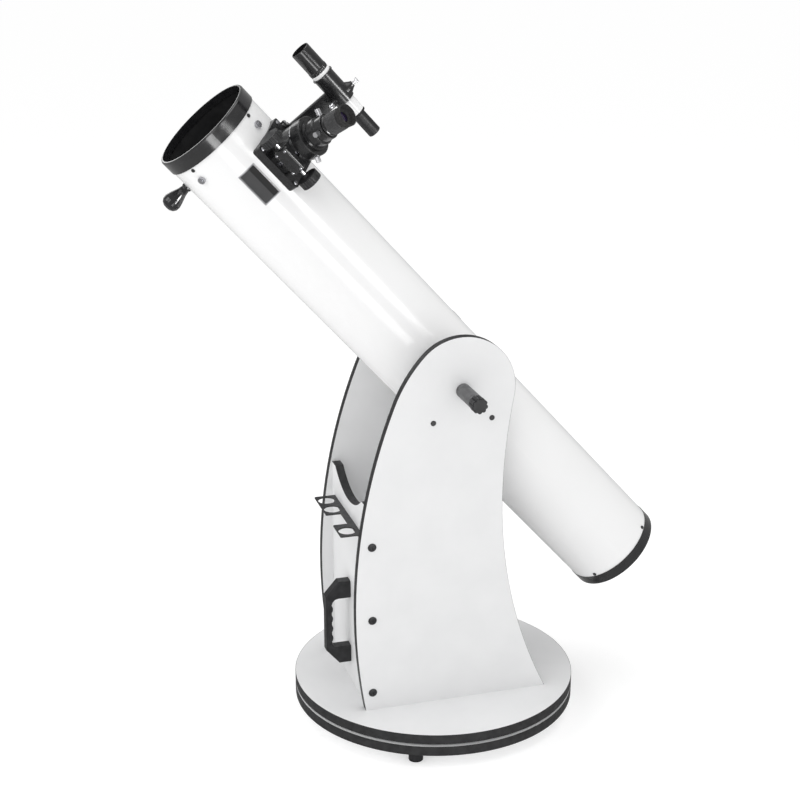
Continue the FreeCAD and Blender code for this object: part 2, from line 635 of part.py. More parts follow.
def toothed_rack(width):
    """Rack along Z on the drawtube's side, a tooth space facing the pinion's tooth at rest."""
    spacing = math.pi * GEAR_MODULE
    pitch_line = PINION_OFFSET - GEAR_MODULE * PINION_TEETH / 2
    back = block((-width / 2, width / 2), (DRAWTUBE_RADIUS - 1.5, pitch_line - 1.2), (80.0, 134.0))
    teeth = []
    for i in range(-12, 3):
        middle = PINION_RADIAL + (i + 0.5) * spacing
        flank = [(pitch_line - 1.4, -1.1), (pitch_line, -0.68), (pitch_line + 0.8, -0.35),
                 (pitch_line + 0.8, 0.35), (pitch_line, 0.68), (pitch_line - 1.4, 1.1)]
        wire = Part.makePolygon([Vector(-width / 2, y, middle + z) for y, z in flank + flank[:1]])
        teeth.append(Part.Face(wire).extrude(Vector(width, 0, 0)))
    return fused(back, *teeth)


def make_focuser():
    axis_at = Vector(0, PINION_OFFSET, PINION_RADIAL)
    half_length = BASE_LENGTH / 2
    saddle = block((-half_length, half_length), BASE_SIDES, (74.0, 95.0))
    saddle = rounded(saddle, 5.0, lambda centre, run: abs(run.z) > 10)
    saddle = saddle.cut(rod(TUBE_RADIUS, -80, 80, SIDE))
    tower = revolved([(0, 92), (38, 92), (38, 97), (34, 101), (33, 104), (33, 134), (0, 134)])
    cheek = block((-26, 26), (20, PINION_OFFSET), (108, 136))
    web = block((-17, 17), (20, 37), (93, 110))
    body = fused(saddle, tower, cheek, web)
    bore = rod(DRAWTUBE_RADIUS + FIT_GAP, 60, 140)
    rack_slot = block((-4.5, 4.5), (20, 38), (60, 140))
    shaft_bore = rod(3.0 + FIT_GAP, -30, 30, SIDE, axis_at)
    pocket = rod(7.6, -4.5, 4.5, SIDE, axis_at)
    foot_way = block((-100, 100), (-9.8, 9.8), (95.4, 110))
    notch = placed(shoe_blank(0.2).fuse(foot_way), FOCUSER_FRAME.inverse().multiply(FINDER_FRAME))
    body = without(body, bore, rack_slot, shaft_bore, pocket, notch,
                   *(base_corner_screws() + cover_screws()))
    keep("focuser_body", placed(body, FOCUSER_FRAME))

    cover = block((-26, 26), (PINION_OFFSET, PINION_OFFSET + 9), (108, 136))
    cover = rounded(cover, 5.0, lambda centre, run: centre.y > PINION_OFFSET + 8
                    or (abs(run.y) > 5 and centre.y > PINION_OFFSET + 1))
    cover = without(cover, shaft_bore, pocket, *cover_screws())
    keep("pinion_cover", placed(cover, FOCUSER_FRAME))

    tube = ring(DRAWTUBE_RADIUS, 26.0, 79.0, COLLAR[0] + 3).fuse(
        ring(34.0, DRAWTUBE_RADIUS - 1, COLLAR[0] - 1.6, COLLAR[0])).removeSplitter()
    flat = toothed_rack(8.0)
    keep("drawtube", placed(without(tube, flat), FOCUSER_FRAME))
    keep("drawtube_rack", placed(flat, FOCUSER_FRAME))
    collar = revolved([(DRAWTUBE_RADIUS, COLLAR[0]), (34.0, COLLAR[0]), (35.0, COLLAR[0] + 1),
                       (35.0, COLLAR[1] - 1.5), (33.5, COLLAR[1]), (25.46, COLLAR[1]),
                       (25.46, COLLAR[0] + 3), (DRAWTUBE_RADIUS, COLLAR[0] + 3)])
    collar_screw_at = Rotation(UP, 142.0).multVec(SIDE)
    screw_line = Vector(0, 0, 151.0)
    thread = rod(2.0 + FIT_GAP, 20, 40, collar_screw_at, screw_line)
    keep("drawtube_collar", placed(collar.cut(thread), FOCUSER_FRAME))
    keep("collar_thumbscrew", placed(thumbscrew(collar_screw_at, screw_line, 26.6, 35.3, 44.0),
                                     FOCUSER_FRAME))

    shaft = fused(rod(3.0, -KNOB_INNER - KNOB_WIDTH + 2, KNOB_INNER + KNOB_WIDTH - 2, SIDE),
                  gear(PINION_TEETH, 8.0))
    shaft.translate(axis_at)
    keep("pinion_shaft", placed(shaft, FOCUSER_FRAME))
    knobs = []
    for side in (1, -1):
        knob = knurled(KNOB_RADIUS, 1.5, 24, KNOB_INNER, KNOB_INNER + KNOB_WIDTH)
        knob = fused(knob, rod(7.0, KNOB_INNER - 4, KNOB_INNER))
        knob.Placement = Placement(axis_at, Rotation(UP, SIDE * side))
        knobs.append(knob.cut(rod(3.0, -KNOB_INNER - KNOB_WIDTH + 2, KNOB_INNER + KNOB_WIDTH - 2,
                                  SIDE, axis_at)))
    keep("focus_knobs", *[placed(knob, FOCUSER_FRAME) for knob in knobs])


def thumbscrew(direction, through, tip, head_start, head_end):
    """Knurled screw along a direction that is square to the axis it clamps."""
    shank = rod(2.0, tip, head_start + 1, direction, through)
    head = knurled(4.5, 0.7, 14, head_start, head_end)
    head.Placement = Placement(through, Rotation(UP, direction))
    return fused(shank, head)


def make_eyepiece():
    adapter_top = 196.5
    bore = EYEPIECE_BARREL_RADIUS + FIT_GAP
    adapter = revolved([(bore, 132.0), (25.4, 132.0), (25.4, COLLAR[1] + 0.3), (28.0, COLLAR[1] + 0.3),
                        (28.0, COLLAR[1] + 3), (24.5, COLLAR[1] + 4), (24.5, 178.5), (21.5, 180.0),
                        (21.5, adapter_top - 1), (20.5, adapter_top), (bore, adapter_top)])
    screw_line = Vector(0, 0, 188.0)
    directions = [Rotation(UP, angle).multVec(SIDE) for angle in (71.5, -32.0)]
    threads = [rod(2.0 + FIT_GAP, 10, 30, direction, screw_line) for direction in directions]
    keep("eyepiece_adapter", placed(without(adapter, *threads), FOCUSER_FRAME))
    for i, direction in enumerate(directions):
        screw = thumbscrew(direction, screw_line, 17.0, 23.0, 34.0)
        keep("adapter_thumbscrew_%d" % (i + 1), placed(screw, FOCUSER_FRAME))

    shoulder = adapter_top + RUNNING_GAP
    keep("eyepiece_barrel", placed(ring(EYEPIECE_BARREL_RADIUS, 14.2, 168.0, shoulder), FOCUSER_FRAME))
    body = revolved([(9.0, shoulder), (18.4, shoulder), (19.0, shoulder + 0.6), (19.0, shoulder + 3.5),
                     (17.5, shoulder + 4.5), (17.5, 228.5), (9.0, 228.5)])
    keep("eyepiece_body", placed(body, FOCUSER_FRAME))
    cup = revolved([(9.0, 228.5), (17.8, 228.5), (18.6, 232), (19.5, 240.5), (18.6, 241.3),
                    (17.2, 241), (14.2, 233), (9.0, 231.5)])
    keep("eyecup", placed(cup, FOCUSER_FRAME))


# ---------------------------------------------------------------- finder
def shoe_blank(grow):
    """Outline of the finder's shoe, in the finder's frame."""
    half_length, half_width = SHOE_LENGTH / 2 + grow, SHOE_WIDTH / 2 + grow
    blank = block((-half_length, half_length), (-half_width, half_width), (84.0, 104.0 + grow))
    return rounded(blank, 3.0, lambda middle, run: abs(run.z) > 10)


def make_finder():
    """Six-power finder: a bracket in a dovetail shoe, and a scope held by an O-ring and screws."""
    centre = Vector(0, 0, FINDER_RADIAL)

    def dovetail(grow, length, bottom, top):
        """Foot section, wider at its bottom, along X."""
        points = [(-9 - grow, bottom), (9 + grow, bottom), (7 + grow, top), (-7 - grow, top)]
        wire = Part.makePolygon([Vector(-length / 2, y, z) for y, z in points + points[:1]])
        return Part.Face(wire).extrude(Vector(length, 0, 0))

    shoe = without(shoe_blank(0.0), rod(TUBE_RADIUS, -60, 60, SIDE), dovetail(0.3, 60, 95.8, 104.1))
    screw_at = Vector(16, 0, 100.0)
    shoe = shoe.cut(rod(2.0 + FIT_GAP, 5, 30, BACK * -1, screw_at))
    keep("finder_shoe", placed(shoe, FINDER_FRAME))
    keep("shoe_thumbscrew", placed(thumbscrew(BACK * -1, screw_at, 8.9, 14.5, 25.0), FINDER_FRAME))

    front, rear = 42.0, -17.0
    blade = block((-15, 15), (-4, 4), (102.0, FINDER_RADIAL - 17))
    blade = rounded(blade, 2.5, lambda middle, run: abs(run.z) > 20)
    foot = dovetail(0.0, 44, 96.1, 103.0)
    neck = block((-18, 18), (-6.5, 6.5), (102.5, 109.0))
    barrel = rod(18.3, rear, front, SIDE, centre)
    lip = rod(19.8, front - 2.0, front, SIDE, centre)
    boss = revolved([(0, 12), (13.0, 12), (10.5, 19), (6.5, 25.0), (5.2, 28), (0, 28)])
    boss.translate(centre + Vector(-4, 0, 0))
    far_boss = rod(5.0, 15, 28, BACK * -1, centre + Vector(-4, 0, 0))
    spring_way = Vector(0, 1, -1).normalize()
    spring_boss = rod(5.0, 15, 27, spring_way, centre + Vector(-4, 0, 0))
    solid = fused(blade, foot, neck, barrel, lip, boss, far_boss, spring_boss)
    seat = rod(16.2, 29.0, 37.0, SIDE, centre)
    bore = rod(17.0, rear - 1, 29.5, SIDE, centre)
    mouth = rod(17.0, 36.5, 50, SIDE, centre)
    tap = [rod(2.0 + FIT_GAP, 10, 40, way, centre + Vector(-4, 0, 0)) for way in (UP, BACK * -1)]
    spring_bore = rod(3.0, 10, 40, spring_way, centre + Vector(-4, 0, 0))
    solid = without(solid, seat, bore, mouth, spring_bore, *tap)
    keep("finder_bracket", placed(solid, FINDER_FRAME))

    keep("finder_o_ring", placed(ring(16.14, FINDER_RADIUS + FIT_GAP, 31.0, 35.0, SIDE, centre),
                                 FINDER_FRAME))
    tube = revolved([(13.2, -46), (13.2, 66), (FINDER_RADIUS, 66), (FINDER_RADIUS, 49),
                     (17.3, 48.7), (17.3, 43.0), (FINDER_RADIUS, 42.7), (FINDER_RADIUS, -30),
                     (14.4, -44), (14.4, -46)], SIDE)
    tube.translate(centre)
    keep("finder_tube", placed(tube, FINDER_FRAME))
    cell = revolved([(FINDER_RADIUS + FIT_GAP, 49.3), (17.0, 49.3), (17.0, 97.0), (16.4, 98.0),
                     (15.6, 98.0), (15.6, 67.0), (FINDER_RADIUS + FIT_GAP, 67.0)], SIDE)
    cell.translate(centre)
    keep("finder_objective_cell", placed(cell, FINDER_FRAME))
    lens = revolved([(0, 68.5), (15.6, 69.5), (15.6, 72.5), (0, 74.5)], SIDE)
    lens.translate(centre)
    keep("finder_lens", placed(lens, FINDER_FRAME))
    ocular = revolved([(0, -50), (5.0, -50), (5.0, -91.5), (8.5, -94.0), (10.5, -94.0), (11.5, -93.0),
                       (11.5, -50.5), (14.5, -50.0), (15.2, -48.8), (14.5, -46.0), (0, -46.0)], SIDE)
    ocular.translate(centre)
    keep("finder_eyepiece", placed(ocular, FINDER_FRAME))

    for i, way in enumerate((UP, BACK * -1)):
        at = centre + Vector(-4, 0, 0)
        head = knurled(4.8, 0.6, 16, 35.0, 38.0)
        head.Placement = Placement(at, Rotation(UP, way))
        screw = fused(head, rod(2.0, FINDER_RADIUS + 0.3, 35.0, way, at), rod(3.0, 29.5, 31.5, way, at))
        keep("finder_adjuster_%d" % (i + 1), placed(screw, FINDER_FRAME))
    plunger = revolved([(0, 16.2), (1.6, 16.2), (1.6, 18.0), (2.94, 18.4), (2.94, 27.0), (4.6, 27.0),
                        (4.6, 33.0), (3.8, 34.0), (0, 34.0)], spring_way)
    plunger.translate(centre + Vector(-4, 0, 0))
    keep("finder_plunger", placed(plunger, FINDER_FRAME))


make_ground()
make_rocker()
make_tube()
make_focuser()
make_eyepiece()
make_finder()

os.makedirs("parts", exist_ok=True)
for old in os.listdir("parts"):
    os.remove(os.path.join("parts", old))
for name, shape in nodes.items():
    if not shape.isValid() or shape.Volume <= 0:
        print("bad shape", name)
    shape.exportStep("parts/%s.step" % name)
print(len(nodes), "nodes")
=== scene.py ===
import json
import math

import bmesh
import bpy
from mathutils import Matrix, Vector


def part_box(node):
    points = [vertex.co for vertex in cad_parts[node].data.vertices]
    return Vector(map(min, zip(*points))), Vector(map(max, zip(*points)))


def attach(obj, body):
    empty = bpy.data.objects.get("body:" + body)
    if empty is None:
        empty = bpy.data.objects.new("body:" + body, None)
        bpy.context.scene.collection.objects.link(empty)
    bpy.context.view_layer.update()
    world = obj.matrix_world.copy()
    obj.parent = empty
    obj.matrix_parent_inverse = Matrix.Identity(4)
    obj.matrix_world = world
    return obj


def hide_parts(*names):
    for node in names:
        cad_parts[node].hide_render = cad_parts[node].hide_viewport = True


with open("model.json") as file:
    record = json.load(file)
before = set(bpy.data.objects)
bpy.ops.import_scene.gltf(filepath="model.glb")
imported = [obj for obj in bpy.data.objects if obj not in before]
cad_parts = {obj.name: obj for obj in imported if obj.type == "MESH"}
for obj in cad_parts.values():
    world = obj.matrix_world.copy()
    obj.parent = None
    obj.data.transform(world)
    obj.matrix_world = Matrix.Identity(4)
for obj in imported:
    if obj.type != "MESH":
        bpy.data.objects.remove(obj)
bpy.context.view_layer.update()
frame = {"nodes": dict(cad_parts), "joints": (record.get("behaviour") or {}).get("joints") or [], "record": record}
NODES = frame["nodes"]
JOINTS = {joint["name"]: joint for joint in frame["joints"]}
SLOTS = {part["node"]: part["material_slot"] for part in frame["record"]["subparts"]}
MM = 0.001

# ------------------------------------------------------------------ directions, from the frame
SIDE = Vector((1, 0, 0))
PIVOT = Vector(JOINTS["altitude"]["pos_m"])
ALONG = Vector(JOINTS["pinion_turn"]["axis"])          # optical axis, towards the mouth
TOP = ALONG.cross(SIDE)                                # top of the tube
FOCUS_OUT = Vector(JOINTS["focus"]["axis"])            # drawtube axis, outwards
FINDER_OUT = Vector(JOINTS["finder_yaw"]["axis"])      # from the tube's axis to the finder's
VIEW = Vector((0.9086, -0.2709, 0.3180)).normalized()  # from the telescope to the camera
VIEW_ANGLE = 90                                        # its angle about the tube, rounded

# ------------------------------------------------------------------ sizes, in mm
# a station is a distance along the tube's axis from the altitude axis, positive to the mouth
TUBE_RADIUS = 91.0
FOCUSER_STATION = 513.0
FINDER_STATION = 519.0             # of its bracket's stalk
FINDER_RISE = 208.0                # from the tube's axis to the finder's
RING_SCREWS = ((596.0, 608.0), (-521.0, -510.0))  # stations of the screws in the two rings
MIRROR_BACK = -511.5               # station
MIRROR_THICKNESS = 22.0
CASTING_FACE = -526.0              # station where the collimation springs stand
FLUTED_LENGTH = 24.5               # black end of a tension handle, partly painted shade on the end that faces away from the light
FLUSH = 0.1                        # a screw this close to a panel's outer face shows there
INWARD = -0.2                      # share of a face's normal that points away from the axis


def axes(origin, x, z):
    """Matrix of a frame with the given origin, X and Z."""
    y = z.cross(x)
    matrix = Matrix((x, y, z)).transposed().to_4x4()
    matrix.translation = origin
    return matrix


def along_axis(origin, z):
    """Frame whose Z is the given direction, with any square X."""
    helper = SIDE if abs(z.dot(SIDE)) < 0.9 else Vector((0, 0, 1))
    x = (helper - z * helper.dot(z)).normalized()
    return axes(origin, x, z)


def station(distance, outward):
    """Frame on the tube's axis at a station: X to the mouth, Z outward."""
    return axes(PIVOT + ALONG * distance * MM, ALONG, outward)


def outward_at(angle):
    """Direction square to the tube, in degrees from its top towards SIDE."""
    turn = math.radians(angle)
    return SIDE * math.sin(turn) + TOP * math.cos(turn)


def facing(direction):
    """Rotation of a lamp or camera that looks in the direction."""
    return direction.to_track_quat("-Z", "Y").to_euler()


def turned(place, angle, radius, height):
    """Point at a radius and height in mm about Z of place."""
    return place @ (Vector((radius * math.cos(angle), radius * math.sin(angle), height)) * MM)


TUBE = axes(PIVOT, SIDE, ALONG)
FOCUSER = station(FOCUSER_STATION, FOCUS_OUT)
FINDER = station(FINDER_STATION, FINDER_OUT) @ Matrix.Translation((0, 0, FINDER_RISE * MM))
FINDER_AXIS = axes(FINDER.translation, SIDE, ALONG)
PANEL_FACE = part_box("side_panel_right")[1][0]
HANDLE_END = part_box("tension_handle_right")[1][0]


# ------------------------------------------------------------------ materials
class Shader:
    """A Principled material whose patterns are set in millimetres in the part's own frame."""

    def __init__(self, name, colour, roughness, metallic=0.0, **sockets):
        self.material = bpy.data.materials.new(name)
        self.material.use_nodes = True
        self.tree = self.material.node_tree
        self.surface = self.tree.nodes["Principled BSDF"]
        self.colour = (*colour, 1.0)
        self.roughness = roughness
        self.set("Base Color", self.colour)
        self.set("Roughness", roughness)
        self.set("Metallic", metallic)
        for socket, value in sockets.items():
            self.set(socket.replace("_", " "), value)
        self.material.diffuse_color = self.colour
        self.place = self.tree.nodes.new("ShaderNodeTexCoord").outputs["Object"]
        self.normal = None

    def set(self, socket, value):
        self.surface.inputs[socket].default_value = value

    def link(self, source, target):
        self.tree.links.new(source, target)

    def stretched(self, scale):
        mapping = self.tree.nodes.new("ShaderNodeMapping")
        mapping.inputs["Scale"].default_value = scale
        self.link(self.place, mapping.inputs["Vector"])
        return mapping.outputs["Vector"]

    def noise(self, size, detail=3.0, stretch=None):
        """Noise whose features are about size mm across."""
        node = self.tree.nodes.new("ShaderNodeTexNoise")
        node.inputs["Scale"].default_value = 1.0 / (size * MM)
        node.inputs["Detail"].default_value = detail
        self.link(self.stretched(stretch) if stretch else self.place, node.inputs["Vector"])
        return node.outputs["Fac"]

    def glossy_ray(self):
        """1 for rays that come from a reflection, else 0."""
        return self.tree.nodes.new("ShaderNodeLightPath").outputs["Is Glossy Ray"]

    def remap(self, source, low, high, start=0.3, end=0.7):
        """Take the stretch from start to end of source to the stretch from low to high."""
        node = self.tree.nodes.new("ShaderNodeMapRange")
        node.inputs["From Min"].default_value = start
        node.inputs["From Max"].default_value = end
        node.inputs["To Min"].default_value = low
        node.inputs["To Max"].default_value = high
        self.link(source, node.inputs["Value"])
        return node.outputs["Result"]

    def vary_roughness(self, source, spread):
        """Move the roughness by up to spread either way."""
        self.link(self.remap(source, self.roughness - spread, self.roughness + spread),
                  self.surface.inputs["Roughness"])
        return self

    def vary_colour(self, source, other, start=0.35, end=0.65):
        """Mix towards the other colour where source is high."""
        mix = self.tree.nodes.new("ShaderNodeMix")
        mix.data_type = "RGBA"
        mix.inputs["A"].default_value = self.colour
        mix.inputs["B"].default_value = (*other, 1.0)
        self.link(self.remap(source, 0.0, 1.0, start, end), mix.inputs["Factor"])
        self.link(mix.outputs["Result"], self.surface.inputs["Base Color"])
        return self

    def bump(self, source, depth):
        """Raise the surface by up to depth mm where source is high."""
        node = self.tree.nodes.new("ShaderNodeBump")
        node.inputs["Distance"].default_value = depth * MM
        node.inputs["Strength"].default_value = 1.0
        self.link(source, node.inputs["Height"])
        if self.normal:
            self.link(self.normal, node.inputs["Normal"])
        self.normal = node.outputs["Normal"]
        self.link(self.normal, self.surface.inputs["Normal"])
        return self


def laminate():
    """White melamine board: faint pebble grain, slight marks."""
    look = Shader("laminate", (0.775, 0.778, 0.782), roughness=0.42, Specular_IOR_Level=0.3)
    look.vary_colour(look.noise(size=70.0, detail=4.0), other=(0.80, 0.802, 0.806))
    look.vary_roughness(look.noise(size=35.0, detail=4.0), spread=0.06)
    return look.bump(look.noise(size=0.9, detail=2.0), depth=0.02)


def edge_tape():
    """Black plastic strip glued round the boards."""
    look = Shader("edge_tape", (0.022, 0.022, 0.023), roughness=0.5, Specular_IOR_Level=0.3)
    look.vary_colour(look.noise(size=12.0), other=(0.034, 0.034, 0.035))
    look.vary_roughness(look.noise(size=8.0), spread=0.08)
    return look.bump(look.noise(size=0.8), depth=0.03)


def moulded(name="moulded_black", colour=(0.014, 0.014, 0.015)):
    """Spark-eroded dark plastic, mottled with a lighter shade of itself."""
    lighter = tuple(1.7 * part for part in colour)
    look = Shader(name, colour, roughness=0.44, Specular_IOR_Level=0.35)
    look.vary_colour(look.noise(size=14.0), other=lighter)
    look.vary_roughness(look.noise(size=6.0), spread=0.08)
    return look.bump(look.noise(size=0.55, detail=2.0), depth=0.03)


def gloss_black():
    """Polished black plastic."""
    look = Shader("gloss_black", (0.010, 0.010, 0.011), roughness=0.09, Coat_Weight=0.8,
                  Coat_Roughness=0.03)
    look.vary_roughness(look.noise(size=9.0), spread=0.03)
    return look.bump(look.noise(size=6.0), depth=0.001)


def nylon():
    """White bearing plastic."""
    look = Shader("white_nylon", (0.78, 0.78, 0.74), roughness=0.4)
    look.vary_colour(look.noise(size=5.0), other=(0.72, 0.72, 0.67))
    return look.bump(look.noise(size=1.0), depth=0.02)


def zinc():
    """Zinc-plated steel with fine machining marks."""
    look = Shader("zinc_steel", (0.58, 0.58, 0.60), roughness=0.3, metallic=1.0)
    look.vary_colour(look.noise(size=2.0), other=(0.5, 0.5, 0.53))
    look.vary_roughness(look.noise(size=1.2, stretch=(1, 1, 0.15)), spread=0.09)
    return look.bump(look.noise(size=0.3), depth=0.008)


def black_steel():
    """Blackened screws."""
    look = Shader("black_steel", (0.02, 0.02, 0.021), roughness=0.4, Specular_IOR_Level=0.35)
    look.vary_colour(look.noise(size=5.0), other=(0.035, 0.035, 0.037))
    look.vary_roughness(look.noise(size=3.0), spread=0.08)
    return look.bump(look.noise(size=0.7, detail=2.0), depth=0.02)


def enamel():
    """Thick gloss white paint with a little orange peel."""
    look = Shader("white_enamel", (0.885, 0.885, 0.885), roughness=0.2, Specular_IOR_Level=0.3)
    look.vary_colour(look.noise(size=150.0), other=(0.90, 0.90, 0.902))
    look.vary_roughness(look.noise(size=60.0, detail=4.0), spread=0.03)
    return look.bump(look.noise(size=4.0, detail=1.0), depth=0.004)


def black_enamel():
    """Gloss black paint on sheet metal."""
    look = Shader("black_enamel", (0.009, 0.009, 0.010), roughness=0.2, Specular_IOR_Level=0.8,
                  Coat_Weight=0.5, Coat_Roughness=0.1)
    look.vary_colour(look.noise(size=10.0), other=(0.014, 0.014, 0.015))
    look.vary_roughness(look.noise(size=18.0, detail=4.0), spread=0.06)
    return look.bump(look.noise(size=1.2, detail=2.0), depth=0.004)


def flat_black():
    """Light-trap paint."""
    look = Shader("flat_black", (0.010, 0.010, 0.011), roughness=0.85, Specular_IOR_Level=0.25)
    look.vary_colour(look.noise(size=20.0), other=(0.018, 0.018, 0.019))
    return look.bump(look.noise(size=0.8, detail=4.0), depth=0.05)


def mirror_coating():
    """Aluminised glass with a trace of haze."""
    look = Shader("mirror_coating", (0.88, 0.89, 0.91), roughness=0.02, metallic=1.0)
    return look.vary_roughness(look.noise(size=25.0), spread=0.01)


def aluminium():
    """Bare turned or sheet aluminium."""
    look = Shader("bare_aluminium", (0.55, 0.55, 0.57), roughness=0.34, metallic=1.0)
    look.vary_roughness(look.noise(size=1.5, stretch=(1, 1, 0.1)), spread=0.08)
    return look.bump(look.noise(size=0.5), depth=0.01)


def casting():
    """Die-cast metal under fine-textured black paint."""
    look = Shader("black_casting", (0.010, 0.010, 0.011), roughness=0.3, Coat_Weight=0.5,
                  Coat_Roughness=0.12)
    look.vary_colour(look.noise(size=9.0), other=(0.017, 0.017, 0.018))
    look.vary_roughness(look.noise(size=4.0), spread=0.08)
    return look.bump(look.noise(size=1.6, detail=2.0), depth=0.006)


def chrome():
    """Plated drawtube."""
    look = Shader("chrome", (0.78, 0.78, 0.80), roughness=0.09, metallic=1.0)
    look.vary_roughness(look.noise(size=6.0, detail=4.0), spread=0.05)
    return look.bump(look.noise(size=3.0), depth=0.002)


def anodised():
    """Black anodised turned parts, with marks round the turning."""
    look = Shader("black_anodised", (0.010, 0.010, 0.011), roughness=0.24, Coat_Weight=0.6,
                  Coat_Roughness=0.08)
    look.vary_colour(look.noise(size=7.0), other=(0.015, 0.015, 0.016))
    look.vary_roughness(look.noise(size=1.5, stretch=(1, 1, 0.2)), spread=0.07)
    return look.bump(look.noise(size=2.5), depth=0.001)


def rubber():
    """Dusty soft rubber."""
    look = Shader("rubber", (0.018, 0.018, 0.018), roughness=0.72, Specular_IOR_Level=0.3)
    look.vary_colour(look.noise(size=3.0), other=(0.038, 0.037, 0.037))
    look.vary_roughness(look.noise(size=2.0), spread=0.08)
    return look.bump(look.noise(size=0.4), depth=0.03)


def ribbed_grip():
    """Semi-gloss rubber of the eyepiece's grip."""
    look = Shader("ribbed_grip", (0.045, 0.045, 0.046), roughness=0.36, Specular_IOR_Level=0.6)
    look.vary_colour(look.noise(size=4.0), other=(0.07, 0.07, 0.072))
    return look.vary_roughness(look.noise(size=1.5), spread=0.08)


def coated_glass():
    """Multi-coated lens over a dark barrel."""
    look = Shader("coated_glass", (0.06, 0.045, 0.10), roughness=0.03, Transmission_Weight=0.75,
                  IOR=1.6, Coat_Weight=1.0, Coat_Tint=(0.75, 0.6, 1.0, 1.0))
    return look.vary_roughness(look.noise(size=12.0), spread=0.008)


def plate(name, level):
    """Coated aluminium label, without any print."""
    look = Shader(name, (level, level, level * 1.04), roughness=0.5, Specular_IOR_Level=0.25)
    look.vary_roughness(look.noise(size=8.0), spread=0.05)
    return look.bump(look.noise(size=0.8), depth=0.006)


LOOKS = {
    "laminate": laminate(),
    "edge_banding": edge_tape(),
    "black_plastic": moulded(),
    "gloss_black": gloss_black(),
    "white_nylon": nylon(),
    "zinc_steel": zinc(),
    "black_steel": black_steel(),
    "white_enamel": enamel(),
    "black_enamel": black_enamel(),
    "matt_black_steel": flat_black(),
    "mirror_coating": mirror_coating(),
    "bare_aluminium": aluminium(),
    "black_casting": casting(),
    "chrome": chrome(),
    "black_anodised": anodised(),
    "rubber": rubber(),
    "coated_glass": coated_glass(),
    "plate_black": plate("plate_black", 0.010),
    "plate_grey": plate("plate_grey", 0.05),
    # the tension handles' barrels: this grey is partly painted light on one black plastic
    "moulded_grey": moulded("moulded_grey", (0.075, 0.075, 0.077)),
    "ribbed_grip": ribbed_grip(),
}


def paint_cad_nodes():
    """Give each CAD node the finish of its slot in the record."""
    for name, node in NODES.items():
        node.data.materials.clear()
        node.data.materials.append(LOOKS[SLOTS[name]].material)


def repaint(name, look, chooses):
    """Give a CAD node a second finish on the faces that chooses(centre, normal) picks."""
    node = NODES[name]
    node.data.materials.append(LOOKS[look].material)
    index = len(node.data.materials) - 1
    for face in node.data.polygons:
        if chooses(face.center, face.normal):
            face.material_index = index


def second_finishes():
    """Faces of CAD nodes whose finish differs from the rest of their node."""
    inside = TUBE.inverted()

    def inner_wall(centre, normal):
        local = inside @ centre
        outward = inside.to_3x3() @ normal
        return local.x * outward.x + local.y * outward.y < INWARD * math.hypot(local.x, local.y)

    def ring_screw(centre, normal):
        along = (inside @ centre).z / MM
        return any(start < along < end for start, end in RING_SCREWS)

    # partly painted light and shade: the barrel gets a lighter grey, and the fluted end stays black as painted
    # shade
    def lit_grey_barrel(centre, normal):
        return abs(centre.x) <= HANDLE_END - FLUTED_LENGTH * MM

    def pad_screw(centre, normal):
        return abs(centre.x) > PANEL_FACE - FLUSH * MM

    repaint("main_tube", "matt_black_steel", inner_wall)
    repaint("tube_screws", "black_steel", ring_screw)
    repaint("rocker_screws", "black_steel", pad_screw)
    # painted light and shade on the handles: lit grey barrel, shaded black fluted end
    for name in ("tension_handle_right", "tension_handle_left"):
        repaint(name, "moulded_grey", lit_grey_barrel)


# ------------------------------------------------------------------ mesh tools
SAME_POINT = 1e-7  # metres within which two points are one
ON_AXIS = 1e-6     # mm of radius below which a profile's point is on the axis


def piece(name, mesh, look, body, smooth=35.0):
    """Make a shown piece from a mesh in metres in the row frame, and let it ride on a body."""
    made = bpy.data.objects.new(name, mesh)
    bpy.context.scene.collection.objects.link(made)
    mesh.materials.append(LOOKS[look].material)
    mesh.shade_smooth()
    mesh.set_sharp_from_angle(angle=math.radians(smooth))
    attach(made, body)
    return made


def finish_mesh(name, work):
    """Make a mesh of work, with doubled points merged and its faces turned outwards."""
    bmesh.ops.remove_doubles(work, verts=work.verts, dist=SAME_POINT)
    bmesh.ops.recalc_face_normals(work, faces=work.faces)
    mesh = bpy.data.meshes.new(name)
    work.to_mesh(mesh)
    work.free()
    return mesh


def lathe(name, profile, place, steps=64, wave=None):
    """Turn a closed (radius, height) profile in mm about Z of place.

    wave(angle, radius) may return a new radius, for ribs and knurls."""
    work = bmesh.new()
    rings = []
    for i in range(steps):
        angle = 2 * math.pi * i / steps
        rings.append([
            work.verts.new(turned(place, angle, wave(angle, radius) if wave else radius, height))
            for radius, height in profile])
    count = len(profile)
    for i in range(steps):
        here, there = rings[i], rings[(i + 1) % steps]
        for j in range(count):
            k = (j + 1) % count
            if profile[j][0] >= ON_AXIS or profile[k][0] >= ON_AXIS:
                work.faces.new((here[j], there[j], there[k], here[k]))
    bmesh.ops.dissolve_degenerate(work, edges=work.edges, dist=SAME_POINT)
    return finish_mesh(name, work)


def swept(name, points, radius):
    """A round wire of radius mm along points in metres."""
    curve = bpy.data.curves.new(name, "CURVE")
    curve.dimensions = "3D"
    curve.bevel_depth = radius * MM
    curve.bevel_resolution = 3
    curve.use_fill_caps = True
    spline = curve.splines.new("POLY")
    spline.points.add(len(points) - 1)
    for point, at in zip(spline.points, points):
        point.co = (*at, 1.0)
    holder = bpy.data.objects.new(name + "_path", curve)
    mesh = bpy.data.meshes.new_from_object(holder)
    bpy.data.objects.remove(holder)
    bpy.data.curves.remove(curve)
    return mesh


# ------------------------------------------------------------------ lights, floor, camera
MIDDLE = (0, 0, 0.6)

